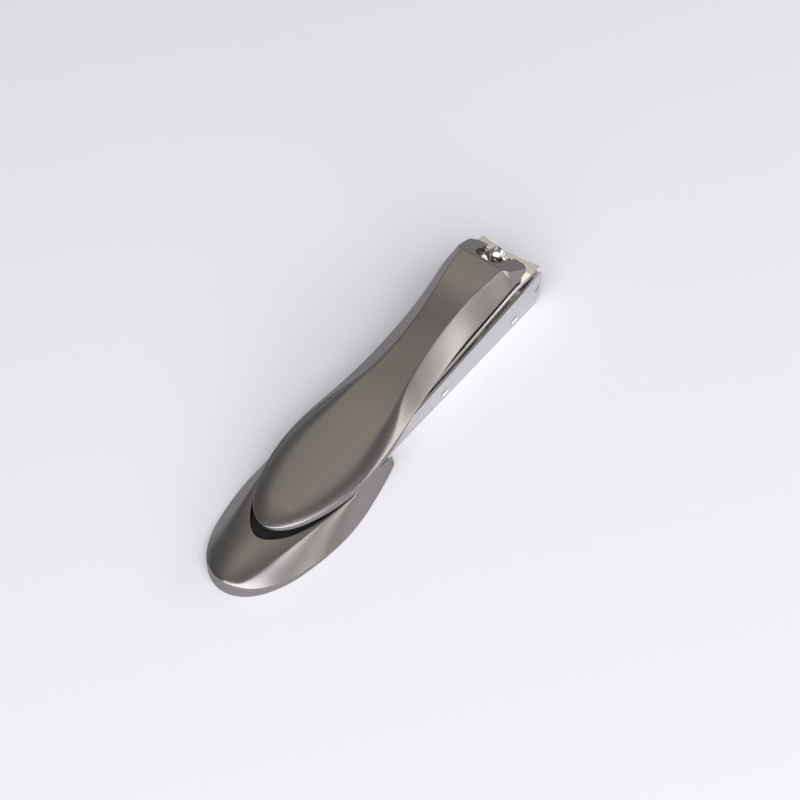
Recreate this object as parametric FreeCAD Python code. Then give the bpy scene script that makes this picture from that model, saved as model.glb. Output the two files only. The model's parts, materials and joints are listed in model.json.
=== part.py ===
import FreeCAD, Part
import math
import os

from FreeCAD import Vector

# Compound-lever nail clipper in its stowed pose, millimetres.
# +X points to the jaws, +Z up, +Y to the left; the origin is the centre of the footprint on the
# surface it lies on. Two sprung steel arms are riveted together in a cast tail shell. A swivelling
# post near the jaws carries the cast lever, which lies back over the arms and the shell.

# ---------------------------------------------------------------- driving sizes
FRONT_X = 45.0            # foremost corner of the cutting edges
TAIL_X = -45.0            # tip of the tail shell
JAW_HALF_WIDTH = 6.8      # half of the cutting edge's width
JAW_SAGITTA = 1.0         # depth of the concave cutting edge
JAW_LENGTH = 4.0          # straight-sided front part of both arms
ARM_THICKNESS = 1.2
ARM_HALF_WAIST = 5.7      # half-width of both arms at x = 0
ARM_HALF_TAIL = 4.6       # half-width of both arms at their rear end
ARM_REAR_X = -27.0
EDGE_LAND = 1.7           # height of the ground front face of each jaw
MOUTH_GAP = 1.7           # opening between the cutting edges at rest

LOWER_MID_TAIL_Z = 2.9    # mid-heights of the lower arm
LOWER_MID_REAR_TAB_Z = 1.7
LOWER_MID_FRONT_TAB_Z = 1.95
LOWER_MID_POST_Z = 1.75
LOWER_EDGE_Z = 5.2        # height of the lower cutting edge
LOWER_JAW_HEEL = 2.0      # the lower jaw turns up this far in front of the post, underneath
LOWER_JAW_INSTEP = 3.2    # and this far on top

FLEX_X = -6.0             # line about which the upper arm bends
ARM_STACK_GAP = 0.05      # gap between the two arms in the tail
KNEE_X = 8.0              # the upper arm steepens here
KNEE_TOP_Z = 6.15
PEAK_BEHIND_POST = 2.7    # highest line of the upper arm
PEAK_TOP_Z = 10.1
BROW_SETBACK = 3.7        # the upper jaw turns down this far behind the cutting edge
BROW_TOP_Z = 9.35

POST_SETBACK = 5.8        # axis of the swivelling post behind the cutting edge
POST_RADIUS = 1.5
BALL_SWELL = 0.25         # the round head is this much larger than the post
BALL_Z = 12.6
FOOT_FLANGE = 1.1         # the foot stands out this far round the post
FOOT_THICKNESS = 0.6
FOOT_CHAMFER = 0.2
WASHER_FLANGE = 1.4
WASHER_THICKNESS = 0.35
WASHER_SEAT_DEPTH = 0.2   # recess under the lower arm for the washer
WASHER_SEAT_CLEARANCE = 0.2
RUNNING_CLEARANCE = 0.05  # for the post, the hinge pin and the bending line
ARM_HOLE_CLEARANCE = 0.4  # radial, so that the bending arm slides past the post

PIN_AHEAD = 0.7           # hinge pin in front of the post's axis
PIN_Z = 11.6
PIN_RADIUS = 0.6
PIN_GRIP = 1.4            # length of each pin end held in the lever
PIN_BOSS_WALL = 0.4       # metal round the pin in the bosses beside the ball
PIN_BOSS_GAP = 0.5        # between a boss and the lever

KNUCKLE_BEHIND_POST = 5.2 # ridge where the lever's top meets its front chamfer
LEVER_KNUCKLE_Z = 16.0
LIP_AHEAD_OF_POST = 1.9   # front end of the lever
LEVER_LIP_Z = 11.75
LIP_HALF_WIDTH = 6.6
LEVER_CORNER_RADIUS = 2.4
LEVER_TIP_X = -33.0
LEVER_PAD_HALF_WIDTH = 9.2
LEVER_WALL = 1.2
HOLLOW_REAR_X = -4.0      # the space under the lever's neck ends here
NOTCH_MARGIN = 1.5        # open slot in the lever's head, each side of the post
NOTCH_BEHIND_POST = 4.4
NOTCH_ROUND_LENGTH = 2.6  # length of the slot's rounded rear
CHEEK_WALL = 0.65         # metal round the hinge pin
CHEEK_WIDTH = 2.3

WALL = 0.5                # sheet of the clipping catcher
ARM_SIDE_CLEARANCE = 0.2  # between the arms' flanks and the catcher's walls
CATCHER_SETBACK = 0.8     # the catcher's nose behind the cutting edge
CATCHER_REAR_X = -7.0
CATCHER_TOP_FRONT_Z = 8.05
CATCHER_TOP_REAR_Z = 3.7
CATCHER_NOSE_RADIUS = 3.2
CATCHER_FLOOR_SETBACK = 4.0
FOOT_OPENING_MARGIN = 0.3 # round the washer in the catcher's floor
TAB_LENGTH = 2.0
TAB_HEIGHT = 0.76
TAB_PROUD = 0.12          # how far the tabs stand out of the windows
TAB_CLEARANCE = 0.05
FRONT_TAB_BEHIND_POST = 3.8
REAR_TAB_X = 13.2
SIGHT_HOLE_SETBACK = 1.1  # tip of the drop-shaped hole behind the cutting edge
SIGHT_HOLE_TIP_Z = 5.6
SIGHT_HOLE_HEIGHT = 2.0
SIGHT_HOLE_SLANT = 1.4
SIGHT_HOLE_WIDTH = 1.05

SHELL_FRONT_X = -5.0
SHELL_HALF_WIDTH = 11.1
SHELL_FLOOR = 1.0
RECESS_TIP_X = -34.3
INSERT_TOP_Z = 3.4
INSERT_CLEARANCE = 0.1
RIVET_X = (-12.5, -21.5)
RIVET_RADIUS = 1.4
RIVET_HEAD_FLANGE = 0.9
RIVET_HEAD_HEIGHT = 0.45
RIVET_FOOT_HEIGHT = 0.8   # countersunk foot in the shell's floor
RIVET_CLEARANCE = 0.05

BEYOND = 20.0             # overshoot of every cutting shape

# ---------------------------------------------------------------- sizes that follow
POST_X = FRONT_X - POST_SETBACK
PIN_X = POST_X + PIN_AHEAD
BALL_RADIUS = POST_RADIUS + BALL_SWELL
FOOT_RADIUS = POST_RADIUS + FOOT_FLANGE
WASHER_RADIUS = POST_RADIUS + WASHER_FLANGE
NOTCH_HALF_WIDTH = POST_RADIUS + NOTCH_MARGIN
NOTCH_REAR_X = POST_X - NOTCH_BEHIND_POST
PIN_HALF_LENGTH = NOTCH_HALF_WIDTH + PIN_GRIP
CHEEK_RADIUS = PIN_RADIUS + CHEEK_WALL
LEVER_KNUCKLE_X = POST_X - KNUCKLE_BEHIND_POST
LEVER_LIP_X = POST_X + LIP_AHEAD_OF_POST
PEAK_X = POST_X - PEAK_BEHIND_POST
BROW_X = FRONT_X - BROW_SETBACK
CATCHER_FRONT_X = FRONT_X - CATCHER_SETBACK
CATCHER_FLOOR_END_X = FRONT_X - CATCHER_FLOOR_SETBACK
TAB_X = (POST_X - FRONT_TAB_BEHIND_POST, REAR_TAB_X)
RIVET_HEAD_RADIUS = RIVET_RADIUS + RIVET_HEAD_FLANGE
TAIL_TOP_Z = LOWER_MID_TAIL_Z + ARM_THICKNESS / 2            # top of the lower arm's tail
UPPER_TAIL_Z = TAIL_TOP_Z + ARM_STACK_GAP                    # underside of the upper arm's tail
FLEX_Z = UPPER_TAIL_Z + ARM_THICKNESS / 2
UPPER_EDGE_Z = LOWER_EDGE_Z + MOUTH_GAP
WASHER_SEAT_Z = LOWER_MID_POST_Z - ARM_THICKNESS / 2 + WASHER_SEAT_DEPTH
WIDE_X = FRONT_X - JAW_LENGTH                                # the arms taper behind this line
ARM_TAPER = (JAW_HALF_WIDTH - ARM_HALF_WAIST) / WIDE_X


# ---------------------------------------------------------------- shape helpers
def rounded_face(corners, to_point):
    """Planar face from (u, v, radius) corners; corners with a radius get a tangent arc."""
    count = len(corners)
    spans = []
    for i in range(count):
        u, v, radius = corners[i]
        here = Vector(u, v, 0)
        before = Vector(corners[i - 1][0], corners[i - 1][1], 0)
        after = Vector(corners[(i + 1) % count][0], corners[(i + 1) % count][1], 0)
        if radius == 0:
            spans.append((here, None, here))
            continue
        back = (before - here).normalize()
        ahead = (after - here).normalize()
        half_angle = back.getAngle(ahead) / 2
        reach = radius / math.tan(half_angle)
        bisector = (back + ahead).normalize()
        middle = here + bisector * (radius / math.sin(half_angle) - radius)
        spans.append((here + back * reach, middle, here + ahead * reach))
    edges = []
    for i in range(count):
        start, middle, end = spans[i]
        if middle is not None:
            edges.append(Part.Arc(to_point(start), to_point(middle), to_point(end)).toShape())
        next_start = spans[(i + 1) % count][0]
        if end.distanceToPoint(next_start) > 1e-6:
            edges.append(Part.LineSegment(to_point(end), to_point(next_start)).toShape())
    return Part.Face(Part.Wire(edges))


def side_prism(corners, y_low, y_high):
    """Solid whose side view is the (x, z, radius) outline."""
    face = rounded_face(corners, lambda p: Vector(p.x, y_low, p.y))
    return face.extrude(Vector(0, y_high - y_low, 0))


def plan_prism(corners, z_low, z_high):
    """Solid whose plan is the (x, y, radius) outline."""
    face = rounded_face(corners, lambda p: Vector(p.x, p.y, z_low))
    return face.extrude(Vector(0, 0, z_high - z_low))


def curve(points, tip_tangent):
    """Smooth curve through the points that arrives at its last point along tip_tangent."""
    line = Part.BSplineCurve()
    start = (points[1] - points[0]).normalize()
    line.interpolate(Points=points, InitialTangent=start, FinalTangent=tip_tangent)
    return line.toShape()


def plan_drop(stations, z_low, z_high):
    """Prism over a drop-shaped plan: (x, half-width) stations that end in a rounded tip."""
    right = [Vector(x, -half, z_low) for x, half in stations]
    left = [Vector(x, half, z_low) for x, half in stations]
    right_edge = curve(right, Vector(0, 1, 0))
    left_edge = curve(left, Vector(0, -1, 0))
    front = Part.LineSegment(left[0], right[0]).toShape()
    face = Part.Face(Part.Wire(Part.__sortEdges__([right_edge, left_edge, front])))
    return face.extrude(Vector(0, 0, z_high - z_low))


def interpolate(stations, x):
    """Straight-line values between (x, value, ...) stations sorted from front to rear."""
    for ahead, behind in zip(stations, stations[1:]):
        if x >= behind[0]:
            share = (ahead[0] - x) / (ahead[0] - behind[0])
            return [a + (b - a) * share for a, b in zip(ahead[1:], behind[1:])]
    return list(stations[-1][1:])


def fitted(stations, front_x, rear_x, width_scale, width_columns):
    """Stations stretched to run from front_x to rear_x, with their half-widths scaled."""
    drawn_front = stations[0][0]
    drawn_rear = stations[-1][0]
    scale = (front_x - rear_x) / (drawn_front - drawn_rear)
    rows = []
    for station in stations:
        row = list(station)
        row[0] = rear_x + (station[0] - drawn_rear) * scale
        for column in width_columns:
            row[column] = station[column] * width_scale
        rows.append(tuple(row))
    return rows


def upright(x, z_low, z_high, radius):
    """Upright cylinder on the middle plane."""
    return Part.makeCylinder(radius, z_high - z_low, Vector(x, 0, z_low))


def crosswise(x, z, radius, y_low, y_high):
    """Cylinder across the clipper."""
    return Part.makeCylinder(radius, y_high - y_low, Vector(x, y_low, z), Vector(0, 1, 0))


def block(x_low, x_high, half_width, z_low, z_high):
    return Part.makeBox(x_high - x_low, 2 * half_width, z_high - z_low,
                        Vector(x_low, -half_width, z_low))


# ---------------------------------------------------------------- arms
def arm_half_width(x):
    if x >= WIDE_X:
        return JAW_HALF_WIDTH
    if x >= 0:
        return ARM_HALF_WAIST + ARM_TAPER * x
    return ARM_HALF_WAIST + (ARM_HALF_WAIST - ARM_HALF_TAIL) * x / -ARM_REAR_X


def arm_plan(x_low, x_high, grow=0.0):
    """Tall prism over the plan that both arms share, between two stations."""
    stations = [x for x in (x_high, WIDE_X, 0.0, x_low) if x_low <= x <= x_high]
    right = [(x, -arm_half_width(x) - grow, 0) for x in stations]
    left = [(x, arm_half_width(x) + grow, 0) for x in reversed(stations)]
    return plan_prism(right + left, -1.0, BEYOND)


def jaw_cut():
    """The concave front of both jaws, one upright cylinder."""
    radius = (JAW_HALF_WIDTH ** 2 + JAW_SAGITTA ** 2) / (2 * JAW_SAGITTA)
    return upright(FRONT_X - JAW_SAGITTA + radius, -1.0, BEYOND, radius)


def rivet_holes(z_low, z_high):
    radius = RIVET_RADIUS + RIVET_CLEARANCE
    return Part.makeCompound([upright(x, z_low, z_high, radius) for x in RIVET_X])


def lower_arm_mid(x):
    stations = [(POST_X, LOWER_MID_POST_Z), (TAB_X[0], LOWER_MID_FRONT_TAB_Z),
                (TAB_X[1], LOWER_MID_REAR_TAB_Z), (FLEX_X, LOWER_MID_TAIL_Z)]
    return interpolate(stations, x)[0]


def lower_arm():
    half = ARM_THICKNESS / 2
    profile = [
        (ARM_REAR_X, LOWER_MID_TAIL_Z + half, 0),
        (ARM_REAR_X, LOWER_MID_TAIL_Z - half, 0),
        (FLEX_X, LOWER_MID_TAIL_Z - half, 60),
        (TAB_X[1], LOWER_MID_REAR_TAB_Z - half, 60),
        (TAB_X[0], LOWER_MID_FRONT_TAB_Z - half, 30),
        (POST_X + LOWER_JAW_HEEL, LOWER_MID_POST_Z - half, 3.0),
        (FRONT_X, LOWER_EDGE_Z - EDGE_LAND, 0),
        (FRONT_X, LOWER_EDGE_Z, 0),
        (POST_X + LOWER_JAW_INSTEP, LOWER_MID_POST_Z + half, 2.0),
        (POST_X, LOWER_MID_POST_Z + half, 10),
        (TAB_X[0], LOWER_MID_FRONT_TAB_Z + half, 30),
        (TAB_X[1], LOWER_MID_REAR_TAB_Z + half, 60),
        (FLEX_X, LOWER_MID_TAIL_Z + half, 60),
    ]
    arm = side_prism(profile, -BEYOND, BEYOND).common(arm_plan(ARM_REAR_X, FRONT_X))
    arm = arm.cut(jaw_cut())
    for x in TAB_X:
        reach = arm_half_width(x) + ARM_SIDE_CLEARANCE + WALL + TAB_PROUD
        tab = block(x - TAB_LENGTH / 2, x + TAB_LENGTH / 2, reach,
                    lower_arm_mid(x) - TAB_HEIGHT / 2, lower_arm_mid(x) + TAB_HEIGHT / 2)
        arm = arm.fuse(tab)
    arm = arm.cut(upright(POST_X, -1, WASHER_SEAT_Z, WASHER_RADIUS + WASHER_SEAT_CLEARANCE))
    arm = arm.cut(upright(POST_X, -1, LOWER_EDGE_Z, POST_RADIUS + RUNNING_CLEARANCE))
    return arm.cut(rivet_holes(0, BEYOND)).removeSplitter()


def upper_arm_profile():
    """Side view of the upper arm in front of its bending line."""
    return [
        (FLEX_X, FLEX_Z + ARM_THICKNESS / 2, 0),
        (FLEX_X, FLEX_Z - ARM_THICKNESS / 2, 0),
        (KNEE_X, KNEE_TOP_Z - ARM_THICKNESS, 60),
        (PEAK_X, PEAK_TOP_Z - ARM_THICKNESS, 8),
        (BROW_X, BROW_TOP_Z - ARM_THICKNESS, 3),
        (FRONT_X, UPPER_EDGE_Z, 0),
        (FRONT_X, UPPER_EDGE_Z + EDGE_LAND, 0),
        (BROW_X, BROW_TOP_Z, 9),
        (PEAK_X, PEAK_TOP_Z, 9),
        (KNEE_X, KNEE_TOP_Z, 60),
    ]


def upper_arm():
    arm = side_prism(upper_arm_profile(), -BEYOND, BEYOND).common(arm_plan(FLEX_X, FRONT_X))
    arm = arm.cut(jaw_cut())
    half_width = arm_half_width(FLEX_X)
    arm = arm.fuse(crosswise(FLEX_X, FLEX_Z, ARM_THICKNESS / 2, -half_width, half_width))
    hole = upright(POST_X, LOWER_EDGE_Z, BEYOND, POST_RADIUS + ARM_HOLE_CLEARANCE)
    return arm.cut(hole).removeSplitter()


def upper_arm_tail():
    tail = side_prism([
        (ARM_REAR_X, UPPER_TAIL_Z, 0), (FLEX_X, UPPER_TAIL_Z, 0),
        (FLEX_X, UPPER_TAIL_Z + ARM_THICKNESS, 0), (ARM_REAR_X, UPPER_TAIL_Z + ARM_THICKNESS, 0),
    ], -BEYOND, BEYOND).common(arm_plan(ARM_REAR_X, FLEX_X))
    socket = crosswise(FLEX_X, FLEX_Z, ARM_THICKNESS / 2 + RUNNING_CLEARANCE, -BEYOND, BEYOND)
    return tail.cut(socket).cut(rivet_holes(0, BEYOND))


# ---------------------------------------------------------------- clipping catcher
def sight_hole():
    """Drop-shaped hole beside the mouth, pointed towards the front top."""
    tip_x = FRONT_X - SIGHT_HOLE_SETBACK
    low_z = SIGHT_HOLE_TIP_Z - SIGHT_HOLE_HEIGHT
    round_radius = SIGHT_HOLE_WIDTH / 4
    front_x = tip_x - SIGHT_HOLE_SLANT + SIGHT_HOLE_WIDTH / 2
    return side_prism([
        (front_x - SIGHT_HOLE_WIDTH, low_z, round_radius),
        (front_x, low_z, round_radius),
        (tip_x, SIGHT_HOLE_TIP_Z, 0.1),
    ], -BEYOND, BEYOND)


def catcher():
    height = [
        (CATCHER_REAR_X, 0, 0), (CATCHER_FRONT_X, 0, CATCHER_NOSE_RADIUS),
        (CATCHER_FRONT_X, CATCHER_TOP_FRONT_Z, 0.4), (CATCHER_REAR_X, CATCHER_TOP_REAR_Z, 0),
    ]
    outer = side_prism(height, -BEYOND, BEYOND)
    outer = outer.common(arm_plan(CATCHER_REAR_X, CATCHER_FRONT_X, ARM_SIDE_CLEARANCE + WALL))
    hollow = arm_plan(CATCHER_REAR_X - 1, CATCHER_FRONT_X + 1, ARM_SIDE_CLEARANCE)
    floor = block(CATCHER_REAR_X - 2, CATCHER_FLOOR_END_X, BEYOND, -2, WALL)
    sheet = outer.cut(hollow.cut(floor))
    half_length = TAB_LENGTH / 2 + TAB_CLEARANCE
    half_height = TAB_HEIGHT / 2 + TAB_CLEARANCE
    for x in TAB_X:
        window = block(x - half_length, x + half_length, BEYOND,
                       lower_arm_mid(x) - half_height, lower_arm_mid(x) + half_height)
        sheet = sheet.cut(window)
    opening = upright(POST_X, -1, 2 * WALL, WASHER_RADIUS + FOOT_OPENING_MARGIN)
    return sheet.cut(sight_hole()).cut(opening).removeSplitter()


# ---------------------------------------------------------------- post
def foot_top_z():
    return WASHER_SEAT_Z - WASHER_THICKNESS


def post():
    """Shank with a flanged foot, and a ball with two bosses through which the hinge pin runs."""
    foot_low = foot_top_z() - RUNNING_CLEARANCE - FOOT_THICKNESS
    foot = upright(POST_X, foot_low, foot_low + FOOT_THICKNESS, FOOT_RADIUS)
    lower_rim = [e for e in foot.Edges if e.Closed and e.CenterOfMass.z < foot_low + FOOT_THICKNESS / 2]
    foot = foot.makeChamfer(FOOT_CHAMFER, lower_rim)
    shank = upright(POST_X, foot_low, BALL_Z, POST_RADIUS)
    ball = Part.makeSphere(BALL_RADIUS, Vector(POST_X, 0, BALL_Z))
    boss_end = NOTCH_HALF_WIDTH - PIN_BOSS_GAP
    bosses = crosswise(PIN_X, PIN_Z, PIN_RADIUS + PIN_BOSS_WALL, -boss_end, boss_end)
    body = foot.fuse([shank, ball, bosses])
    bore = crosswise(PIN_X, PIN_Z, PIN_RADIUS + RUNNING_CLEARANCE, -BEYOND, BEYOND)
    return body.cut(bore).removeSplitter()


def foot_washer():
    ring = upright(POST_X, foot_top_z(), foot_top_z() + WASHER_THICKNESS, WASHER_RADIUS)
    return ring.cut(upright(POST_X, -1, LOWER_EDGE_Z, POST_RADIUS + RUNNING_CLEARANCE))


# ---------------------------------------------------------------- lever
# (x, half-width, height) of the ridge along each side of the lever's top, front to tip
RIDGE_DRAWN = (
    (41.5, 5.2, 16.4), (34.0, 4.7, LEVER_KNUCKLE_Z), (27.0, 3.85, 15.3), (18.0, 3.1, 13.1),
    (9.0, 3.35, 11.0), (2.0, 4.6, 9.6), (-5.0, 7.0, 8.4), (-12.0, 8.1, 7.7), (-20.0, 7.3, 7.2),
    (-26.0, 5.6, 6.95), (-29.8, 3.75, 6.8), (-31.7, 1.95, 6.65), (-32.4, 0.0, 6.6),
)
# (x, half-width, height) of the lower edge of each side, front to tip
SKIRT_DRAWN = (
    (41.5, 6.7, 11.9), (34.0, 7.25, 12.2), (27.0, 6.85, 10.8), (18.0, 6.55, 9.3),
    (9.0, 6.95, 7.9), (2.0, 7.6, 7.1), (-5.0, 8.6, 6.2), (-12.0, 9.2, 5.8), (-20.0, 8.5, 5.65),
    (-26.0, 6.7, 5.6), (-30.0, 4.6, 5.6), (-32.2, 2.35, 5.6), (-33.0, 0.0, 5.6),
)
TRIM = 0.4                # the castings are drawn this much too long in front, then cut
RIDGE_TIP_SETBACK = 0.6   # slant of the lever's tip
LEVER_SCALE = LEVER_PAD_HALF_WIDTH / max(half for x, half, z in SKIRT_DRAWN)
RIDGE = fitted(RIDGE_DRAWN, LEVER_LIP_X + TRIM, LEVER_TIP_X + RIDGE_TIP_SETBACK, LEVER_SCALE, [1])
SKIRT = fitted(SKIRT_DRAWN, LEVER_LIP_X + TRIM, LEVER_TIP_X, LEVER_SCALE, [1])


def mirrored_curves(stations):
    right = [Vector(x, -half, z) for x, half, z in stations]
    left = [Vector(x, half, z) for x, half, z in stations]
    return curve(right, Vector(0, 1, 0)), curve(left, Vector(0, -1, 0))


def lever_body():
    """Closed form between the two ridges and the two lower edges."""
    ridge_right, ridge_left = mirrored_curves(RIDGE)
    skirt_right, skirt_left = mirrored_curves(SKIRT)
    faces = [
        Part.makeRuledSurface(ridge_right, ridge_left),
        Part.makeRuledSurface(ridge_right, skirt_right),
        Part.makeRuledSurface(ridge_left, skirt_left),
        Part.makeRuledSurface(skirt_right, skirt_left),
    ]
    corners = [Vector(RIDGE[0][0], -RIDGE[0][1], RIDGE[0][2]),
               Vector(RIDGE[0][0], RIDGE[0][1], RIDGE[0][2]),
               Vector(SKIRT[0][0], SKIRT[0][1], SKIRT[0][2]),
               Vector(SKIRT[0][0], -SKIRT[0][1], SKIRT[0][2])]
    faces.append(Part.Face(Part.makePolygon(corners + corners[:1])))
    shell = Part.makeShell(faces)
    shell.sewShape()
    solid = Part.makeSolid(shell)
    if solid.Volume < 0:
        solid.reverse()
    return solid


def lever_hollow():
    """Space under the lever's neck, a loft of four-sided sections."""
    front_x = LEVER_KNUCKLE_X - LEVER_WALL
    between = [x for x, half, z in SKIRT if HOLLOW_REAR_X + 1 < x < front_x - 1]
    wires = []
    for x in [front_x] + between + [HOLLOW_REAR_X]:
        ridge_half, ridge_z = interpolate(RIDGE, x)
        skirt_half, skirt_z = interpolate(SKIRT, x)
        top = ridge_half - LEVER_WALL / 2
        foot = skirt_half - LEVER_WALL
        low_z = skirt_z - LEVER_WALL / 2
        high_z = ridge_z - LEVER_WALL
        corners = [Vector(x, -foot, low_z), Vector(x, -top, high_z),
                   Vector(x, top, high_z), Vector(x, foot, low_z)]
        wires.append(Part.makePolygon(corners + corners[:1]))
    return Part.makeLoft(wires, True, True)


def lever_chamfer_cut():
    """Everything above the sloping front face of the lever's head."""
    slope = (LEVER_KNUCKLE_Z - LEVER_LIP_Z) / (LEVER_LIP_X - LEVER_KNUCKLE_X)
    high_z = LEVER_KNUCKLE_Z + BEYOND
    return side_prism([
        (LEVER_KNUCKLE_X, LEVER_KNUCKLE_Z, 0),
        (LEVER_KNUCKLE_X + BEYOND, LEVER_KNUCKLE_Z - slope * BEYOND, 0),
        (LEVER_KNUCKLE_X + BEYOND, high_z, 0),
        (LEVER_KNUCKLE_X, high_z, 0),
    ], -BEYOND, BEYOND)


def lever_front_outline():
    """Plan that trims the lever's front to a straight lip with rounded corners."""
    head_half = 1.1 * interpolate(SKIRT, LEVER_KNUCKLE_X)[0]
    rear_x = LEVER_TIP_X - BEYOND
    return plan_prism([
        (rear_x, -BEYOND, 0), (LEVER_KNUCKLE_X, -BEYOND, 0), (LEVER_KNUCKLE_X, -head_half, 0),
        (LEVER_LIP_X, -LIP_HALF_WIDTH * LEVER_SCALE, LEVER_CORNER_RADIUS),
        (LEVER_LIP_X, LIP_HALF_WIDTH * LEVER_SCALE, LEVER_CORNER_RADIUS),
        (LEVER_KNUCKLE_X, head_half, 0), (LEVER_KNUCKLE_X, BEYOND, 0), (rear_x, BEYOND, 0),
    ], 0, LEVER_KNUCKLE_Z + BEYOND)


def lever_cheeks():
    """Two lugs under the head that hold the hinge pin."""
    low = PIN_Z - CHEEK_RADIUS
    root_x = LEVER_KNUCKLE_X - LEVER_WALL
    lugs = []
    for y_low in (NOTCH_HALF_WIDTH, -NOTCH_HALF_WIDTH - CHEEK_WIDTH):
        boss = crosswise(PIN_X, PIN_Z, CHEEK_RADIUS, y_low, y_low + CHEEK_WIDTH)
        web = side_prism([
            (PIN_X, low, 0), (PIN_X, PIN_Z + PIN_RADIUS, 0), (root_x, PIN_Z + CHEEK_RADIUS, 0),
            (root_x + LEVER_WALL, PIN_Z, 1.0), (PIN_X - 2 * CHEEK_RADIUS, low + 0.3, 1.0),
        ], y_low, y_low + CHEEK_WIDTH)
        lugs += [boss, web]
    return lugs


def lever_notch():
    """Slot through the head, open to the front and rounded at the rear."""
    center = Vector(NOTCH_REAR_X + NOTCH_ROUND_LENGTH, 0, 0)
    ellipse = Part.Ellipse(center + Vector(0, NOTCH_HALF_WIDTH, 0),
                           center + Vector(NOTCH_ROUND_LENGTH, 0, 0), center)
    height = LEVER_KNUCKLE_Z + BEYOND
    rear = Part.Face(Part.Wire(ellipse.toShape())).extrude(Vector(0, 0, height))
    return rear.fuse(block(center.x, LEVER_LIP_X + BEYOND, NOTCH_HALF_WIDTH, 0, height))


def lever():
    body = lever_body().cut(lever_hollow())
    body = body.fuse(lever_cheeks())
    body = body.cut(lever_chamfer_cut())
    body = body.common(lever_front_outline())
    body = body.cut(lever_notch())
    return body.cut(lever_pin())


def lever_pin():
    return crosswise(PIN_X, PIN_Z, PIN_RADIUS, -PIN_HALF_LENGTH, PIN_HALF_LENGTH)


# ---------------------------------------------------------------- tail
# (x, half-width) of the shell's footprint, front to tip
FOOTPRINT_DRAWN = (
    (-3.0, 7.6), (-7.0, 8.85), (-12.0, 9.9), (-17.0, 10.75), (-22.0, 11.1), (-28.0, 10.7),
    (-33.0, 9.8), (-37.0, 8.65), (-40.5, 6.9), (-43.3, 4.5), (-45.0, 0.0),
)
# (x, crown height, shoulder half-width, shoulder height, base half-width) of the shell's top
CROWN_DRAWN = (
    (-3.0, 5.4, 7.9, 5.2, 8.3), (-10.0, 5.5, 8.8, 5.15, 9.9), (-17.0, 5.4, 8.6, 5.0, 11.0),
    (-24.0, 5.2, 7.9, 4.75, 11.5), (-31.0, 4.6, 6.6, 4.25, 10.9), (-38.0, 4.1, 4.9, 3.7, 9.6),
    (-46.0, 4.0, 3.0, 3.35, 8.4),
)
# (x, half-width) of the recess in the shell's top, front to tip
RECESS_DRAWN = ((-3.0, 7.4), (-12.0, 8.3), (-20.0, 7.8), (-27.0, 6.2), (-31.5, 4.0), (-34.3, 0.0))
SHELL_TRIM = 2.0          # the shell is drawn this much too long in front, then cut
CROWN_OVERHANG = 1.0      # and its crown this much beyond the tip
SHELL_SCALE = SHELL_HALF_WIDTH / max(half for x, half in FOOTPRINT_DRAWN)
SHELL_DRAWN_FRONT_X = SHELL_FRONT_X + SHELL_TRIM
FOOTPRINT = fitted(FOOTPRINT_DRAWN, SHELL_DRAWN_FRONT_X, TAIL_X, SHELL_SCALE, [1])
CROWN = fitted(CROWN_DRAWN, SHELL_DRAWN_FRONT_X, TAIL_X - CROWN_OVERHANG, SHELL_SCALE, [2, 4])
RECESS = fitted(RECESS_DRAWN, SHELL_DRAWN_FRONT_X, RECESS_TIP_X, SHELL_SCALE, [1])


def crown_solid():
    """Everything under the shell's crowned top."""
    wires = []
    for x, crown_z, shoulder, shoulder_z, base in CROWN:
        top = Part.BSplineCurve()
        top.interpolate([Vector(x, -base, 0), Vector(x, -shoulder, shoulder_z),
                         Vector(x, 0, crown_z), Vector(x, shoulder, shoulder_z),
                         Vector(x, base, 0)])
        left_foot = Vector(x, base, -1)
        right_foot = Vector(x, -base, -1)
        edges = [top.toShape(),
                 Part.LineSegment(Vector(x, base, 0), left_foot).toShape(),
                 Part.LineSegment(left_foot, right_foot).toShape(),
                 Part.LineSegment(right_foot, Vector(x, -base, 0)).toShape()]
        wires.append(Part.Wire(edges))
    return Part.makeLoft(wires, True, False)


def recess_prism(shrink, z_low, z_high):
    stations = [(x, max(half - shrink, 0.0)) for x, half in RECESS]
    stations[-1] = (RECESS[-1][0] + shrink, 0.0)
    return plan_drop(stations, z_low, z_high)


def rivet_foot(x):
    return Part.makeCone(RIVET_HEAD_RADIUS, RIVET_RADIUS, RIVET_FOOT_HEIGHT, Vector(x, 0, 0))


def tail_shell():
    body = plan_drop(FOOTPRINT, 0.0, BEYOND).common(crown_solid())
    body = body.cut(block(SHELL_FRONT_X, SHELL_FRONT_X + BEYOND, BEYOND, -1, BEYOND))
    body = body.cut(recess_prism(0.0, SHELL_FLOOR, BEYOND))
    passage = arm_plan(CATCHER_REAR_X - INSERT_CLEARANCE, 0.0,
                       ARM_SIDE_CLEARANCE + WALL + INSERT_CLEARANCE)
    body = body.cut(passage)
    for x in RIVET_X:
        body = body.cut(rivet_foot(x))
    return body.cut(rivet_holes(-1, SHELL_FLOOR + 1))


def tail_insert():
    """Cradle in the recess that beds the rear ends of both arms."""
    body = recess_prism(INSERT_CLEARANCE, SHELL_FLOOR, INSERT_TOP_Z)
    front_x = CATCHER_REAR_X - 2 * INSERT_CLEARANCE
    body = body.cut(block(front_x, front_x + BEYOND, BEYOND, -1, BEYOND))
    channel = arm_plan(ARM_REAR_X - INSERT_CLEARANCE, 0.0, INSERT_CLEARANCE)
    seat = LOWER_MID_TAIL_Z - ARM_THICKNESS / 2
    channel = channel.cut(block(ARM_REAR_X - BEYOND, BEYOND, BEYOND, -BEYOND, seat))
    return body.cut(channel).cut(rivet_holes(-1, BEYOND))


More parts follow.
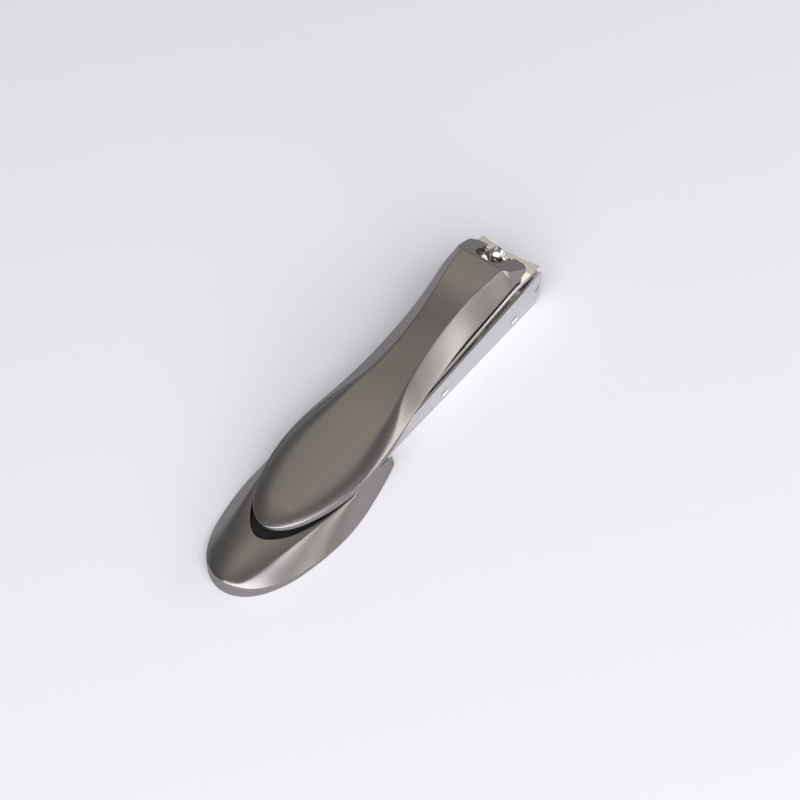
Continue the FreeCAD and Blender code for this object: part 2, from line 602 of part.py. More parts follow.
def tail_rivets():
    """Two rivets: countersunk under the shell, domed on top of the upper arm."""
    top_z = UPPER_TAIL_Z + ARM_THICKNESS
    solids = []
    for x in RIVET_X:
        shank = upright(x, 0, top_z, RIVET_RADIUS)
        dome_radius = (RIVET_HEAD_RADIUS ** 2 + RIVET_HEAD_HEIGHT ** 2) / (2 * RIVET_HEAD_HEIGHT)
        dome = Part.makeSphere(dome_radius, Vector(x, 0, top_z + RIVET_HEAD_HEIGHT - dome_radius))
        dome = dome.common(upright(x, top_z, top_z + BEYOND, RIVET_HEAD_RADIUS + 1))
        solids.append(shank.fuse([rivet_foot(x), dome]).removeSplitter())
    return Part.makeCompound(solids)


PIECES = {
    "lower_arm": lower_arm,
    "upper_arm": upper_arm,
    "upper_arm_tail": upper_arm_tail,
    "catcher": catcher,
    "post": post,
    "foot_washer": foot_washer,
    "lever": lever,
    "lever_pin": lever_pin,
    "tail_shell": tail_shell,
    "tail_insert": tail_insert,
    "tail_rivets": tail_rivets,
}

os.makedirs("parts", exist_ok=True)
for name, make in PIECES.items():
    solids = make().Solids
    shape = Part.makeCompound(solids) if len(solids) > 1 else solids[0]
    print(name, "solids", len(solids), "valid", shape.isValid(), "volume", round(shape.Volume, 2))
    shape.exportStep("parts/" + name + ".step")
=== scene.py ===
import json
import math

import bmesh
import bpy
import numpy as np
from mathutils import Matrix, Vector


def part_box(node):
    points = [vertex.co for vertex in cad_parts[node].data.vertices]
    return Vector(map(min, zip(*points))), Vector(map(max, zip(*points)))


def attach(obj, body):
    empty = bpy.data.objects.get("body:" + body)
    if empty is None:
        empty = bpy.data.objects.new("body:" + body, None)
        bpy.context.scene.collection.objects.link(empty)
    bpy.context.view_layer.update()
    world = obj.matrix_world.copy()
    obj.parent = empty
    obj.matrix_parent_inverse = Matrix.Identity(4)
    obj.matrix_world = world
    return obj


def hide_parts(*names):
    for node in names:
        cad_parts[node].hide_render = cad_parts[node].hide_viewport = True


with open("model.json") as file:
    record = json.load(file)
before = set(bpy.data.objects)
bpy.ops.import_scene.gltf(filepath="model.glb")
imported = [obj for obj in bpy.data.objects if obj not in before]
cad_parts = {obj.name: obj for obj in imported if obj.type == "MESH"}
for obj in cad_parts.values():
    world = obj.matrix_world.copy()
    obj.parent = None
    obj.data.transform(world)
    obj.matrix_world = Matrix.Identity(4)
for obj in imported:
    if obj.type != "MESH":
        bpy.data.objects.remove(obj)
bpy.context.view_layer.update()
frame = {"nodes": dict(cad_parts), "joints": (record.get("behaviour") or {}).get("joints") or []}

MM = 0.001


# ------------------------------------------------------------------ places taken from the frame
def joint(name):
    return next(j for j in frame["joints"] if j["name"] == name)


def millimetres(point):
    return [value / MM for value in point]


LEVER_LOW, LEVER_HIGH = (millimetres(corner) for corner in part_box("lever"))
SHELL_LOW, SHELL_HIGH = (millimetres(corner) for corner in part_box("tail_shell"))
CATCHER_LOW, CATCHER_HIGH = (millimetres(corner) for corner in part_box("catcher"))
PIN_X, _, PIN_Z = millimetres(joint("lever_flip")["pos_m"])
POST_X = millimetres(joint("post_swivel")["pos_m"])[0]
LIP_X = LEVER_HIGH[0]
KNUCKLE_Z = LEVER_HIGH[2]
LEVER_TIP_X = LEVER_LOW[0]
POST_TOP = millimetres(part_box("post")[1])[2]
TAIL_X = SHELL_LOW[0]
SHELL_FRONT_X = SHELL_HIGH[0]
SHELL_FLOOR = millimetres(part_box("tail_insert")[0])[2]

# ------------------------------------------------------------------ lever sizes, millimetres
KNUCKLE_X = 34.0          # ridge between the lever's top and its front chamfer
KNUCKLE_SOFT = 0.2        # blend between the two
LIP_Z = 11.75
LIP_THICKNESS = 0.3
HEAD_CORNER = 2.4         # plan radius of the lip's corners
CHAMFER_FLARE = 0.95      # the chamfer is this much wider than the top just past the knuckle
CHAMFER_FLARE_LENGTH = 1.1
LEVER_WALL = 1.2
HOLLOW_REAR_X = -6.0      # the hollow under the neck ends here
HOLLOW_REAR_SLOPE = 4.0
EDGE_BEND = 0.12          # reach of the small bends at the foot and the rim
RIDGE_BEND = 0.16         # reach of the bend along the ridge at the head
RIDGE_BEND_GAIN = 0.22    # added to it along the neck
PAD_FRONT_X = 4.0         # the neck turns into the domed pad behind here
PAD_BLEND = 14.0
PAD_CROWN = 0.3
PAD_ROLL = 2.4            # how far the pad's rounded edge reaches inward
NECK_RIM = 0.15           # height of the upright rim above the foot
PAD_RIM_GAIN = 0.7        # added to it on the pad
TIP_BLEND = (-20.0, 9.0)  # from here over this length the ridge follows its own curve
NOTCH_HALF = 3.0
NOTCH_REAR_X = 34.8
NOTCH_ROUND = 2.6
CHEEK_RADIUS = 1.25
CHEEK_WIDTH = 2.3
CHEEK_LAP = 0.3           # stock inside the notch, cut away with it
CHEEK_SINK = 0.06         # below the chamfer, so that the cheeks never show through it
LEVER_CREASE = 32         # degrees; sharper edges stay crisp
LAST_SHARE = 0.997        # the last section stands just short of the tip
UNDERSIDE_POINTS = 7      # in each section of the lever

# (x, half-width, height) along each side, front to tip
RIDGE = (
    (41.5, 5.2, 16.4), (KNUCKLE_X, 4.7, KNUCKLE_Z), (27.0, 3.85, 15.3), (18.0, 3.1, 13.1),
    (9.0, 3.35, 11.0), (2.0, 4.6, 9.6), (-5.0, 7.0, 8.4), (-12.0, 8.1, 7.7), (-20.0, 7.3, 7.2),
    (-26.0, 5.6, 6.95), (-29.8, 3.75, 6.8), (-31.7, 1.95, 6.65), (LEVER_TIP_X + 0.6, 0.0, 6.6),
)
SKIRT = (
    (41.5, 6.7, 11.9), (KNUCKLE_X, 7.25, 12.2), (27.0, 6.85, 10.8), (18.0, 6.55, 9.3),
    (9.0, 6.95, 7.9), (2.0, 7.6, 7.1), (-5.0, 8.6, 6.2), (-12.0, 9.2, 5.8), (-20.0, 8.5, 5.65),
    (-26.0, 6.7, 5.6), (-30.0, 4.6, 5.6), (-32.2, 2.35, 5.6), (LEVER_TIP_X, 0.0, 5.6),
)

# ------------------------------------------------------------------ small ends, millimetres
BALL_RADIUS = 1.75        # round head of the post
BALL_SKIN = 0.03          # the polished skin stands this much proud of it
TAB_X = (POST_X - 3.8, 13.2)
TAB_HALF_LENGTH = 1.0
TAB_HALF_HEIGHT = 0.34
TAB_CAP = 0.22            # how far the rounded ends stand out past the flat ones

# ------------------------------------------------------------------ shell sizes, millimetres
# (x, half-width) of the outer footprint and of the recess, front to tip
FOOTPRINT = (
    (-3.0, 7.6), (-7.0, 8.85), (-12.0, 9.9), (-17.0, 10.75), (-22.0, 11.1), (-28.0, 10.7),
    (-33.0, 9.8), (-37.0, 8.65), (-40.5, 6.9), (-43.3, 4.5), (TAIL_X, 0.0),
)
RECESS = ((-3.0, 7.4), (-12.0, 8.3), (-20.0, 7.8), (-27.0, 6.2), (-31.5, 4.0), (-34.3, 0.0))
# (x, crown height, shoulder half-width, shoulder height, height of the outer edge)
CROWN = (
    (-3.0, 5.4, 8.0, 5.2, 0.4), (-10.0, 5.5, 8.8, 5.15, 0.35), (-17.0, 5.4, 8.7, 5.0, 0.35),
    (-24.0, 5.2, 7.7, 4.8, 0.4), (-31.0, 4.75, 6.3, 4.3, 0.7), (-37.0, 4.35, 4.9, 3.85, 1.3),
    (-41.0, 4.1, 4.0, 3.6, 2.1), (-43.0, 3.9, 3.3, 3.5, 2.6), (TAIL_X, 3.6, 2.4, 3.4, 3.45),
)


SHELL_SECTIONS = 190
RECESS_RIM = 0.35         # radius along the recess
FOOT_STEP = 0.2           # height of the lowest upright band
PASSAGE_LAP = 0.8         # narrower each side than the catcher at its widest
SHELL_CREASE = 35         # degrees

# ------------------------------------------------------------------ camera
CAMERA_AZIMUTH = 53.8     # degrees from +Y towards +X
CAMERA_ELEVATION = 52.3
CAMERA_DISTANCE = 0.3697  # metres
CAMERA_LENS = 90.0
CAMERA_AIM = (-1.205, -1.078, 4.0)
CAMERA_SHIFT = (4.621, 3.697)    # millimetres to the right and up in the picture


# ------------------------------------------------------------------ curve helpers
def clamp(value, low, high):
    return min(max(value, low), high)


def spline(knots, values, wanted):
    """Natural cubic spline through (knot, value rows), read at the wanted knots."""
    t = np.asarray(knots, float)
    y = np.asarray(values, float)
    h = np.diff(t)
    count = len(t)
    matrix = np.eye(count)
    right = np.zeros_like(y)
    for i in range(1, count - 1):
        matrix[i, i - 1:i + 2] = h[i - 1], 2 * (h[i - 1] + h[i]), h[i]
        right[i] = 3 * ((y[i + 1] - y[i]) / h[i] - (y[i] - y[i - 1]) / h[i - 1])
    c = np.linalg.solve(matrix, right)
    spot = np.clip(np.searchsorted(t, wanted) - 1, 0, count - 2)
    step = (np.asarray(wanted) - t[spot])[:, None]
    hs = h[spot][:, None]
    b = (y[spot + 1] - y[spot]) / hs - hs * (2 * c[spot] + c[spot + 1]) / 3
    d = (c[spot + 1] - c[spot]) / (3 * hs)
    return y[spot] + step * (b + step * (c[spot] + step * d))


def side_curve(stations, shares):
    """Points along one side, from the front (share 0) to the rounded tip (share 1).
    The mirrored side is added behind the tip, so the curve crosses the middle squarely."""
    right = np.array([[s[0], -s[1], *s[2:]] for s in stations], float)
    left = right[-2::-1].copy()
    left[:, 1] *= -1
    points = np.vstack([right, left])
    reach = np.concatenate([[0], np.cumsum(np.linalg.norm(np.diff(points[:, :2], axis=0), axis=1))])
    tip = reach[len(right) - 1]
    return spline(reach, points, np.asarray(shares) * tip)


FINE_FOOT = side_curve(FOOTPRINT, np.linspace(0, 1, 2000))
FOOT_TABLE = (-FINE_FOOT[:, 0], -FINE_FOOT[:, 1])


def crown_height(x, y):
    """Height of the shell's crowned top: a low arch between two soft shoulders, and a side
    that falls from each shoulder to the outer edge."""
    knots = [s[0] for s in reversed(CROWN)]
    rows = [s[1:] for s in reversed(CROWN)]
    crown, shoulder, shoulder_z, edge_z = spline(knots, rows, [x])[0]
    half = max(float(np.interp(-x, FOOT_TABLE[0], FOOT_TABLE[1])), 0.01)
    shoulder = min(shoulder, 0.8 * half)
    y = abs(y)
    if y <= shoulder:
        return crown - (crown - shoulder_z) * (y / shoulder) ** 2
    outer = min((y - shoulder) / (half - shoulder), 1.0)
    return shoulder_z - (shoulder_z - edge_z) * outer ** 1.3


# ------------------------------------------------------------------ mesh helpers
def mesh_object(name, vertices, faces):
    data = bpy.data.meshes.new(name)
    data.from_pydata([tuple(v) for v in vertices], [], faces)
    obj = bpy.data.objects.new(name, data)
    bpy.context.scene.collection.objects.link(obj)
    return obj


def clean(obj, merge_mm=0.002):
    """Merge doubles, drop empty faces and turn all faces outward."""
    bm = bmesh.new()
    bm.from_mesh(obj.data)
    bmesh.ops.remove_doubles(bm, verts=bm.verts, dist=merge_mm * MM)
    bmesh.ops.dissolve_degenerate(bm, dist=merge_mm * MM * 0.2, edges=bm.edges)
    bmesh.ops.recalc_face_normals(bm, faces=bm.faces)
    bm.to_mesh(obj.data)
    bm.free()


def apply_modifiers(obj):
    graph = bpy.context.evaluated_depsgraph_get()
    made = bpy.data.meshes.new_from_object(obj.evaluated_get(graph))
    obj.modifiers.clear()
    obj.data = made


def boolean(obj, other, operation):
    """Cut, join or intersect with another closed mesh, which is then removed."""
    modifier = obj.modifiers.new("boolean", "BOOLEAN")
    modifier.operation = operation
    modifier.solver = "EXACT"
    modifier.object = other
    apply_modifiers(obj)
    bpy.data.objects.remove(other)


def smooth_by_angle(obj, degrees):
    data = obj.data
    data.shade_smooth()
    bm = bmesh.new()
    bm.from_mesh(data)
    limit = math.radians(degrees)
    for edge in bm.edges:
        edge.smooth = len(edge.link_faces) == 2 and edge.calc_face_angle(0) < limit
    bm.to_mesh(data)
    bm.free()


def prism(name, outline, low, high, axis="z"):
    """Closed prism over a 2-D outline in millimetres; axis y takes (x, z) outlines."""
    count = len(outline)
    place = {
        "z": lambda p, level: (p[0] * MM, p[1] * MM, level * MM),
        "y": lambda p, level: (p[0] * MM, level * MM, p[1] * MM),
    }[axis]
    vertices = [place(p, low) for p in outline] + [place(p, high) for p in outline]
    faces = [list(range(count))[::-1], list(range(count, 2 * count))]
    faces += [[i, (i + 1) % count, count + (i + 1) % count, count + i] for i in range(count)]
    obj = mesh_object(name, vertices, faces)
    clean(obj)
    return obj


def arc(center, radius, start, end, steps, squash=1.0):
    angles = np.radians(np.linspace(start, end, steps))
    return [(center[0] + radius * math.cos(t) * squash, center[1] + radius * math.sin(t))
            for t in angles]


def mirror_across(obj):
    """Add the mirrored half about the middle plane."""
    bm = bmesh.new()
    bm.from_mesh(obj.data)
    copy = bmesh.ops.duplicate(bm, geom=bm.verts[:] + bm.edges[:] + bm.faces[:])["geom"]
    for vertex in (g for g in copy if isinstance(g, bmesh.types.BMVert)):
        vertex.co.y *= -1
    bmesh.ops.reverse_faces(bm, faces=[g for g in copy if isinstance(g, bmesh.types.BMFace)])
    bm.to_mesh(obj.data)
    bm.free()


def ring_grid(name, rings, closed=True, last_faces=()):
    """Skin through equal runs of points with a flat cap on the first run. The runs are closed
    rings unless they are asked to stay open; last_faces closes the far end."""
    rings = np.asarray(rings)
    count, around = rings.shape[:2]
    faces = [list(range(around))[::-1]]
    for i in range(count - 1):
        for k in range(around if closed else around - 1):
            n = (k + 1) % around
            faces.append([i * around + k, i * around + n, (i + 1) * around + n, (i + 1) * around + k])
    faces += [[(count - 1) * around + k for k in face] for face in last_faces]
    return mesh_object(name, rings.reshape(-1, 3) * MM, faces)


def bend(before, corner, after, back, ahead, steps, most_back=0.45, most_ahead=0.45):
    """Points of a smooth bend that leaves the first side back mm before the corner and joins
    the second side ahead mm after it, within the given shares of the two sides."""
    first, second = before - corner, after - corner
    a = corner + first * min(back / max(np.linalg.norm(first), 1e-9), most_back)
    c = corner + second * min(ahead / max(np.linalg.norm(second), 1e-9), most_ahead)
    t = np.linspace(0, 1, steps)[:, None]
    return list((1 - t) ** 2 * a + 2 * t * (1 - t) * corner + t ** 2 * c)


def smoothstep(value):
    value = clamp(value, 0.0, 1.0)
    return value * value * (3 - 2 * value)


# ------------------------------------------------------------------ lever
def chamfer_plane(x):
    """Height of the sloping face in front of the knuckle."""
    return KNUCKLE_Z - (KNUCKLE_Z - LIP_Z) * (x - KNUCKLE_X) / (LIP_X - KNUCKLE_X)


def soft_min(a, b, width):
    """The lower of two heights, with a soft change between them."""
    gap = np.clip(0.5 + 0.5 * (b - a) / width, 0, 1)
    return b * (1 - gap) + a * gap - width * gap * (1 - gap)


def lever_shares():
    """Where the lever's cross-sections stand, closer together at the head and round the tip."""
    fine = np.linspace(0, 1, 4000)
    places = side_curve(SKIRT, fine)
    knuckle = np.interp(-KNUCKLE_X, -places[:, 0], fine)
    lip = np.interp(-LIP_X, -places[:, 0], fine)
    along = np.linspace(0, 1, 150)
    near_knuckle = knuckle + np.linspace(-0.012, 0.012, 17)
    near_tip = np.linspace(LAST_SHARE, 0.92, 36)
    head = np.linspace(lip, knuckle, 26)
    every = np.unique(np.concatenate([along[along > lip], near_knuckle, near_tip, head]).round(6))
    return every[(every >= lip - 1e-6) & (every <= LAST_SHARE + 1e-6)]


def head_shape(x, a, b, ridge_z, skirt_z):
    """Half-widths of the top and the skirt, and their heights, where the chamfer and the
    rounded corners cut the head."""
    top_z = ridge_z
    if x > KNUCKLE_X - 2:
        top_z = float(soft_min(ridge_z, chamfer_plane(x), KNUCKLE_SOFT))
        share = clamp((ridge_z - top_z) / (ridge_z - skirt_z), 0.0, 0.96)
        a += CHAMFER_FLARE * smoothstep((x - KNUCKLE_X) / CHAMFER_FLARE_LENGTH) * (1 - share)
        a += (b - a) * share * 0.85
    corner_start = LIP_X - HEAD_CORNER
    if x > corner_start:
        into = min((x - corner_start) / HEAD_CORNER, 1.0)
        b -= HEAD_CORNER * (1 - math.sqrt(max(1 - into ** 2, 0.0)))
        a = min(a, b - EDGE_BEND)
        skirt_z = min(skirt_z, top_z - LIP_THICKNESS)
    return a, b, top_z, skirt_z


def lever_section(ridge, skirt):
    """One closed cross-section, from the right lower edge over the top and back underneath.
    The neck has a flat top between crisp ridges; the pad is domed and ends in a low rim."""
    x = skirt[0]
    ridge_half, ridge_z = max(-ridge[1], 0.0), ridge[2]
    a, b, top_z, skirt_z = head_shape(x, ridge_half, max(-skirt[1], 0.0), ridge_z, skirt[2])
    pad = smoothstep((PAD_FRONT_X - x) / PAD_BLEND)
    near_tip = min(b / 5, 1.0)
    rim_height = (NECK_RIM + PAD_RIM_GAIN * pad) * min(top_z - skirt_z, 1.0)
    foot = np.array([x, -b, skirt_z])
    rim = np.array([x, -(b - 0.06 - 0.16 * pad * near_tip), skirt_z + rim_height])
    corner = np.array([ridge[0], -(a - 0.4 * pad * near_tip), top_z + 0.1 * pad * near_tip])
    center = np.array([ridge[0], 0, corner[2]])
    under = np.array([x, -max(b - 0.5, 0.0), skirt_z])
    half = bend(under, foot, rim, EDGE_BEND, EDGE_BEND, 4)
    half += bend(foot, rim, corner, EDGE_BEND, EDGE_BEND, 5)
    to_corner = np.linalg.norm(corner - rim)
    soft = RIDGE_BEND + RIDGE_BEND_GAIN * smoothstep((24 - x) / 20)
    clear_of_rim = max(1 - (EDGE_BEND + 0.02) / to_corner, 0.5)
    curve = bend(rim, corner, center, soft + pad * to_corner, soft + PAD_ROLL * pad * near_tip, 22,
                 clear_of_rim, 0.9)
    half += [half[-1] * (1 - t) + curve[0] * t for t in (0.25, 0.5, 0.75)]
    half += curve
    half += [curve[-1] * (1 - t) + center * t for t in (0.25, 0.5, 0.75, 1.0)]
    for point in half:
        outward = min(abs(point[1]) / max(b, 0.01), 1.0)
        point[2] += PAD_CROWN * pad * near_tip * (1 - outward ** 2)
    top = half + [p * [1, -1, 1] for p in half[-2::-1]]
    return top + lever_underside(x, ridge_half, b, ridge_z, skirt_z)


def lever_underside(x, ridge_half, b, ridge_z, skirt_z):
    """Left to right across the underside, hollow along the neck and flat under the pad."""
    hollow = max(ridge_z - LEVER_WALL - skirt_z, 0.0)
    hollow *= clamp((KNUCKLE_X - LEVER_WALL - x) / LEVER_WALL, 0.0, 1.0)
    hollow *= clamp((x - HOLLOW_REAR_X) / HOLLOW_REAR_SLOPE, 0.0, 1.0)
    foot_half = max(b - LEVER_WALL, b * 0.5)
    roof_half = min(max(ridge_half - LEVER_WALL / 2, ridge_half * 0.5), foot_half)
    steps = [np.array([x, foot_half, skirt_z]), np.array([x, roof_half, skirt_z + hollow])]
    across = [np.array([x, roof_half * t, skirt_z + hollow]) for t in (0.5, 0, -0.5)]
    return steps + across + [p * [1, -1, 1] for p in steps[::-1]]


def tip_closure(around):
    """Faces that join the two halves of the last section across the middle."""
    top_middle = (around - UNDERSIDE_POINTS) // 2
    low_middle = around - (UNDERSIDE_POINTS + 1) // 2
    side = [(low_middle + k) % around for k in range(around - low_middle + top_middle + 1)]
    faces = []
    for low, high in zip(side, side[1:]):
        face = [low, high, (2 * top_middle - high) % around, (2 * top_middle - low) % around]
        faces.append(list(dict.fromkeys(face)))
    return faces


def build_cheek(sign):
    """Lug beside the notch that holds one end of the hinge pin, cut back under the chamfer."""
    low = PIN_Z - CHEEK_RADIUS
    outline = arc((PIN_X, PIN_Z), CHEEK_RADIUS, -90, 90, 20)
    outline += [(KNUCKLE_X - 0.5, PIN_Z + 1.2), (KNUCKLE_X - 0.2, low + 1.3), (PIN_X - 2.6, low + 0.25)]
    low_y, high_y = sorted((sign * (NOTCH_HALF - CHEEK_LAP), sign * (NOTCH_HALF + CHEEK_WIDTH)))
    cheek = prism("cheek", outline, low_y, high_y, "y")
    slope = [(x, chamfer_plane(x) - CHEEK_SINK) for x in (30, 45)] + [(45, 30), (30, 30)]
    boolean(cheek, prism("slope", slope, -10, 10, "y"), "DIFFERENCE")
    return cheek


def build_lever():
    shares = lever_shares()
    skirt = side_curve(SKIRT, shares)
    fine = np.linspace(0, 1, 4000)
    # the ridge stands over the skirt along the neck, and follows its own curve round the tip
    level = np.interp(-skirt[:, 0], -side_curve(RIDGE, fine)[:, 0], fine)
    toward_tip = np.clip((TIP_BLEND[0] - skirt[:, 0]) / TIP_BLEND[1], 0, 1)
    ridge = side_curve(RIDGE, level * (1 - toward_tip) + shares * toward_tip)
    rings = [lever_section(r, s) for r, s in zip(ridge, skirt)]
    body = ring_grid("lever_casting", rings, True, tip_closure(len(rings[0])))
    clean(body, 0.0005)
    for sign in (1, -1):
        boolean(body, build_cheek(sign), "UNION")
    notch = arc((NOTCH_REAR_X + NOTCH_ROUND, 0), NOTCH_HALF, 90, 270, 33, NOTCH_ROUND / NOTCH_HALF)
    notch += [(LIP_X + 3, -NOTCH_HALF), (LIP_X + 3, NOTCH_HALF)]
    boolean(body, prism("notch", notch, 0, 25), "DIFFERENCE")
    clean(body, 0.0005)
    smooth_by_angle(body, LEVER_CREASE)
    return body


# ------------------------------------------------------------------ tail shell
def matching_side(stations, front_x, count):
    """Side curve from front_x to the tip, as count points."""
    fine = np.linspace(0, 1, 3000)
    whole = side_curve(stations, fine)
    first = np.interp(-front_x, -whole[:, 0], fine)
    shares = np.linspace(0, 1, count)
    side = side_curve(stations, first + (1 - first) * shares)
    side[0, 0] = front_x
    side[:, 1] = np.minimum(side[:, 1], 0)
    return side


def rounded_rim(points, radius):
    """Round the end of a run of top points over towards the recess."""
    end = points[-1]
    for point in points:
        away = math.hypot(point[0] - end[0], point[1] - end[1])
        if away < radius:
            point[2] -= radius - math.sqrt(radius ** 2 - (radius - away) ** 2)


def build_shell():
    count = SHELL_SECTIONS
    outer = matching_side(FOOTPRINT, SHELL_FRONT_X, count)
    inner = matching_side(RECESS, SHELL_FRONT_X, count)
    across = np.concatenate([[0.006, 0.02, 0.05], np.linspace(0.085, 0.9, 46),
                             [0.93, 0.955, 0.97, 0.98, 0.988, 0.994, 1.0]])
    rings = []
    for i in range(count):
        out, rim = outer[i], inner[i]
        x = SHELL_FRONT_X + (rim[0] - SHELL_FRONT_X) * i / (count - 1)
        edge_z = crown_height(out[0], out[1])
        ring = [np.array([x, 0, 0]), np.array([out[0] + (x - out[0]) * 0.03, out[1] * 0.97, 0.0]),
                np.array([out[0], out[1], min(FOOT_STEP, edge_z * 0.4)])]
        ring += [np.array([out[0], out[1], edge_z * share]) for share in (0.6, 0.8, 0.93)]
        top = []
        for t in across:
            px = out[0] + (rim[0] - out[0]) * t
            py = out[1] + (rim[1] - out[1]) * t
            top.append(np.array([px, py, crown_height(px, py)]))
        rounded_rim(top, RECESS_RIM)
        ring += top
        ring += [np.array([rim[0], rim[1], top[-1][2] - 0.4]),
                 np.array([rim[0], rim[1], SHELL_FLOOR]), np.array([x, 0, SHELL_FLOOR])]
        rings.append(ring)
    half = ring_grid("tail_casting", rings, False)
    mirror_across(half)
    clean(half, 0.0005)
    passage_half = CATCHER_HIGH[1] - PASSAGE_LAP
    passage = [(CATCHER_LOW[0] - 0.1, -passage_half), (5, -passage_half - 0.3),
               (5, passage_half + 0.3), (CATCHER_LOW[0] - 0.1, passage_half)]
    boolean(half, prism("passage", passage, -1, 9), "DIFFERENCE")
    smooth_by_angle(half, SHELL_CREASE)
    return half


# ------------------------------------------------------------------ post head and tab ends
def build_ball():
    """Polished skin of the post's round head."""
    radius = BALL_RADIUS + BALL_SKIN
    rings = []
    for turn in np.linspace(0.03, math.pi - 0.03, 40):
        level = POST_TOP - BALL_RADIUS + radius * math.cos(turn)
        rings.append([[POST_X + radius * math.sin(turn) * math.cos(t),
                       radius * math.sin(turn) * math.sin(t), level]
                      for t in np.linspace(0, 2 * math.pi, 72, endpoint=False)])
    ball = ring_grid("post_head", rings, True, [list(range(72))])
    clean(ball, 0.0005)
    smooth_by_angle(ball, 40)
    return ball


def tab_place(x):
    """Reach and middle height of the flat tab end at x, read off the lower arm."""
    arm = frame["nodes"]["lower_arm"]
    points = [arm.matrix_world @ vertex.co / MM for vertex in arm.data.vertices]
    near = [point for point in points if abs(point.x - x) < TAB_HALF_LENGTH + 0.1]
    reach = max(point.y for point in near)
    heights = [point.z for point in near if point.y > reach - 0.01]
    return reach, (min(heights) + max(heights)) / 2


def build_tab_end(name, x, side):
    """Rounded, burnished end of one of the lower arm's tabs, standing out of its window."""
    station, z = tab_place(x)
    around = np.linspace(0, 2 * math.pi, 28, endpoint=False)
    along = np.sign(np.cos(around)) * np.abs(np.cos(around)) ** 0.5
    upward = np.sign(np.sin(around)) * np.abs(np.sin(around)) ** 0.7
    rings = []
    for turn in np.linspace(0.06, math.pi / 2, 7):
        reach = side * (station - 0.02 + TAB_CAP * math.cos(turn))
        rings.append([[x + a * TAB_HALF_LENGTH * math.sin(turn), reach,
                       z + u * TAB_HALF_HEIGHT * math.sin(turn)] for a, u in zip(along, upward)])
    cap = ring_grid(name, rings, True, [list(range(28))])
    clean(cap, 0.0005)
    smooth_by_angle(cap, 50)
    return cap


# ------------------------------------------------------------------ materials
TINT_VARIATION = 0.04


def node_material(name):
    material = bpy.data.materials.new(name)
    material.use_nodes = True
    tree = material.node_tree
    return material, tree, tree.nodes["Principled BSDF"]


def metal(name, color, roughness, grain=0.0, stretch=(1, 1, 1), edge=1.0):
    """Metal whose gloss and tint vary finely; grain adds relief, stretch draws it out into
    brushing, and edge sets how bright the metal turns at grazing angles."""
    material, tree, shader = node_material(name)
    shader.inputs["Metallic"].default_value = 1.0
    shader.inputs["Specular Tint"].default_value = (edge, edge, edge, 1)
    where = tree.nodes.new("ShaderNodeTexCoord")
    scale = tree.nodes.new("ShaderNodeMapping")
    scale.inputs["Scale"].default_value = stretch
    tree.links.new(where.outputs["Object"], scale.inputs["Vector"])
    fine = tree.nodes.new("ShaderNodeTexNoise")
    fine.inputs["Scale"].default_value = 900
    fine.inputs["Detail"].default_value = 4
    tree.links.new(scale.outputs["Vector"], fine.inputs["Vector"])
    ramp = tree.nodes.new("ShaderNodeMapRange")
    ramp.inputs["To Min"].default_value = roughness * 0.9
    ramp.inputs["To Max"].default_value = roughness * 1.12
    tree.links.new(fine.outputs["Fac"], ramp.inputs["Value"])
    tree.links.new(ramp.outputs["Result"], shader.inputs["Roughness"])
    tint = tree.nodes.new("ShaderNodeMix")
    tint.data_type = "RGBA"
    dark = [c * (1 - TINT_VARIATION) for c in color]
    light = [min(c * (1 + TINT_VARIATION), 1) for c in color]
    tint.inputs["A"].default_value = (*dark, 1)
    tint.inputs["B"].default_value = (*light, 1)
    tree.links.new(fine.outputs["Fac"], tint.inputs["Factor"])
    tree.links.new(tint.outputs["Result"], shader.inputs["Base Color"])
    if grain:
        bump = tree.nodes.new("ShaderNodeBump")
        bump.inputs["Strength"].default_value = grain
        bump.inputs["Distance"].default_value = 0.00001
        tree.links.new(fine.outputs["Fac"], bump.inputs["Height"])
        tree.links.new(bump.outputs["Normal"], shader.inputs["Normal"])
    return material


def plastic(name, color, roughness):
    material = metal(name, color, roughness)
    material.node_tree.nodes["Principled BSDF"].inputs["Metallic"].default_value = 0.0
    return material


def dress(obj, material):
    obj.data.materials.clear()
    obj.data.materials.append(material)


# ------------------------------------------------------------------ stage, light and camera
def build_floor():
    size = 3.0
    floor = mesh_object("floor", [(-size, -size, 0), (size, -size, 0), (size, size, 0),
                                  (-size, size, 0)], [[0, 1, 2, 3]])
    material, tree, shader = node_material("paper")
    shader.inputs["Base Color"].default_value = (0.80, 0.79, 0.83, 1)
    shader.inputs["Roughness"].default_value = 0.9
    dress(floor, material)


def softbox(name, toward, distance, size, radiance, color):
    """Rectangular light in the direction toward, facing the clipper, of a given brightness."""
    data = bpy.data.lights.new(name, "AREA")
    data.shape = "RECTANGLE"
    data.size, data.size_y = size
    data.energy = radiance * math.pi * size[0] * size[1]
    data.color = color
    light = bpy.data.objects.new(name, data)
    bpy.context.scene.collection.objects.link(light)
    direction = Vector(toward).normalized()
    light.location = direction * distance
    light.rotation_euler = (-direction).to_track_quat("-Z", "Y").to_euler()


def build_light():
    world = bpy.data.worlds.new("studio")
    bpy.context.scene.world = world
    world.use_nodes = True
    world.node_tree.nodes["Background"].inputs["Color"].default_value = (0.94, 0.95, 1.0, 1)
    world.node_tree.nodes["Background"].inputs["Strength"].default_value = 0.16
    softbox("right", (0.60, -0.76, 0.38), 0.8, (0.8, 0.22), 3.1, (1.0, 0.985, 0.95))
    softbox("camera_side", (-0.62, -0.5, 0.6), 1.0, (1.5, 1.5), 3.1, (0.985, 0.98, 1.0))
    softbox("ceiling", (0.34, 0.31, 0.88), 1.2, (0.5, 0.5), 0.72, (1.0, 0.87, 0.73))
    softbox("front", (0.74, 0.34, 0.58), 1.0, (0.34, 0.26), 1.15, (1.0, 0.95, 0.87))
    softbox("left_back", (0.49, 0.80, 0.36), 1.0, (0.6, 0.2), 0.55, (0.82, 0.92, 1.0))


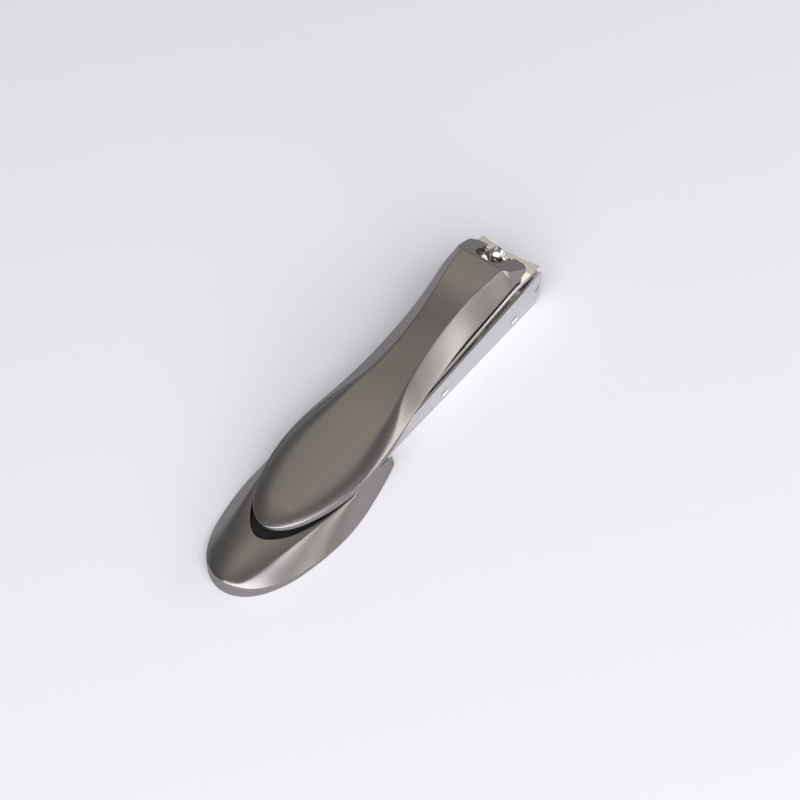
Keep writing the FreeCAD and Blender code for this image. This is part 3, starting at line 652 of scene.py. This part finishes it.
def build_camera():
    azimuth = math.radians(CAMERA_AZIMUTH)
    elevation = math.radians(CAMERA_ELEVATION)
    right = Vector((math.cos(azimuth), -math.sin(azimuth), 0))
    away = Vector((math.sin(azimuth), math.cos(azimuth), 0))
    forward = away * math.cos(elevation) - Vector((0, 0, math.sin(elevation)))
    up = away * math.sin(elevation) + Vector((0, 0, math.cos(elevation)))
    aim = (Vector(CAMERA_AIM) + right * CAMERA_SHIFT[0] + up * CAMERA_SHIFT[1]) * MM
    data = bpy.data.cameras.new("camera")
    data.lens = CAMERA_LENS
    data.sensor_width = 36.0
    data.clip_start = 0.01
    camera = bpy.data.objects.new("camera", data)
    bpy.context.scene.collection.objects.link(camera)
    camera.matrix_world = Matrix.Translation(aim - forward * CAMERA_DISTANCE) @ Matrix(
        (right, up, -forward)).transposed().to_4x4()
    bpy.context.scene.camera = camera


# ------------------------------------------------------------------ assembly
build_floor()
build_light()
build_camera()
bpy.context.scene.view_settings.view_transform = "Standard"

gunmetal = metal("gunmetal", (0.32, 0.305, 0.295), 0.31, 0.1, (0.12, 1, 1), edge=0.6)
steel = metal("arm_steel", (0.84, 0.82, 0.78), 0.18, 0.03, (0.1, 1, 1))
sheet = metal("catcher_sheet", (0.6, 0.595, 0.6), 0.45, 0.2, (0.1, 1, 1))
chrome = metal("chrome", (0.85, 0.84, 0.82), 0.24)
# lever pin: the real pin is bright steel; this dark colour is painted shade for the pin's end in the
# shaded notch
pin_painted_shade = metal("pin_steel_painted_shade", (0.2, 0.195, 0.19), 0.3)
burnished = metal("burnished_steel", (0.95, 0.94, 0.92), 0.35)
# tail insert: the near-black colour is painted shade for the dark opening under the lever's tip
insert_painted_shade = plastic("insert_painted_shade_black", (0.012, 0.012, 0.012), 0.6)

lever = build_lever()
dress(lever, gunmetal)
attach(lever, "lever")
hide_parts("lever")

shell = build_shell()
dress(shell, gunmetal)
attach(shell, "root")
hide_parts("tail_shell")

ball = build_ball()
dress(ball, chrome)
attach(ball, "post")

for x, place in zip(TAB_X, ("front", "rear")):
    for side, hand in ((-1, "right"), (1, "left")):
        cap = build_tab_end("tab_end_" + place + "_" + hand, x, side)
        dress(cap, burnished)
        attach(cap, "root")

NODE_MATERIALS = {
    "lower_arm": steel, "upper_arm": steel, "upper_arm_tail": steel, "catcher": sheet,
    "post": chrome, "foot_washer": chrome, "lever_pin": pin_painted_shade, "tail_insert": insert_painted_shade,
    "tail_rivets": steel,
}
for name, material in NODE_MATERIALS.items():
    dress(frame["nodes"][name], material)
